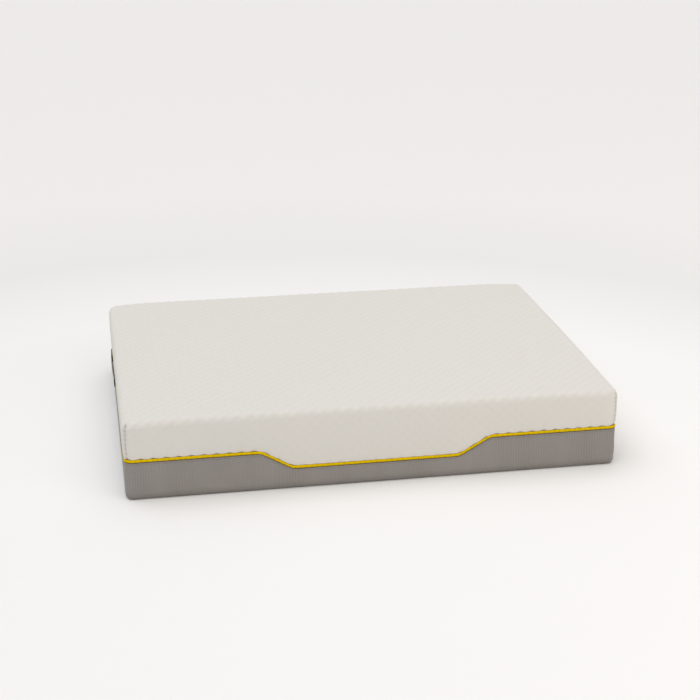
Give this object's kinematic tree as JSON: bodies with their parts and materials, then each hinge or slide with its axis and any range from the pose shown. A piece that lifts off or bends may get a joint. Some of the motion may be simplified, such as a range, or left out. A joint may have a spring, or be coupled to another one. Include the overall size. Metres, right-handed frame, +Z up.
{
  "type": "pressure relief mattress",
  "caption": "Double-size foam mattress with a zip-off quilted knit cover, contrast piping, mesh border, webbing handles and a layered foam core.",
  "frame": {"origin": "centre of the underside, on the bed base", "axes": "+X along the length, -Y towards the long side where the piping dips, +Z up"},
  "size_m": [1.9096, 1.4014, 0.3125],
  "materials": {
    "knit_cover": "matte",
    "wadding": "matte",
    "seam_thread": "matte",
    "piping_cord": "matte",
    "zip_tape": "matte",
    "zip_coil": "satin",
    "zip_metal": "satin",
    "border_mesh": "matte",
    "underside": "matte",
    "webbing": "matte",
    "core_base": "matte",
    "core_transition": "matte",
    "core_comfort": "matte"
  },
  "bodies": {
    "lower_cover": {"border_band": "border_mesh", "base_panel": "underside", "zip_tape_lower": "zip_tape", "zip_coil_lower": "zip_coil", "zip_stop_start": "zip_metal", "zip_stop_end": "zip_metal", "handle_left_patch_front": "webbing", "handle_left_patch_back": "webbing", "handle_right_patch_front": "webbing", "handle_right_patch_back": "webbing"},
    "foam_core": {"core_base": "core_base", "core_transition": "core_transition", "core_comfort": "core_comfort"},
    "top_cover": {"cover_panel": "knit_cover", "cover_wadding": "wadding", "cover_seam_front_left": "seam_thread", "cover_seam_front_right": "seam_thread", "cover_seam_back_left": "seam_thread", "cover_seam_back_right": "seam_thread", "piping": "piping_cord", "zip_tape_upper": "zip_tape", "zip_coil_upper": "zip_coil"},
    "slider": {"zip_slider": "zip_metal"},
    "pull": {"zip_pull": "zip_metal"},
    "left_handle": {"handle_left_strap": "webbing"},
    "right_handle": {"handle_right_strap": "webbing"}
  },
  "joints": [
    {"name": "core_lift", "type": "slide", "parent": "lower_cover", "child": "foam_core", "axis": [0, 0, 1], "range_m": [0, 0.25]},
    {"name": "top_cover_lift", "type": "slide", "parent": "foam_core", "child": "top_cover", "axis": [0, 0, 1], "range_m": [0, 0.3]},
    {"name": "zip_travel", "type": "slide", "parent": "lower_cover", "child": "slider", "axis": [1, 0, 0], "range_m": [0, 1.5]},
    {"name": "pull_swing", "type": "hinge", "parent": "slider", "child": "pull", "pos_m": [-0.7, 0.6994, 0.1502], "axis": [1, 0, 0], "range_deg": [0, 110]},
    {"name": "left_handle_pull", "type": "slide", "parent": "lower_cover", "child": "left_handle", "axis": [-1, 0, 0], "range_m": [0, 0.025], "stiffness_N_per_m": 300},
    {"name": "right_handle_pull", "type": "slide", "parent": "lower_cover", "child": "right_handle", "axis": [1, 0, 0], "range_m": [0, 0.025], "stiffness_N_per_m": 300}
  ]
}
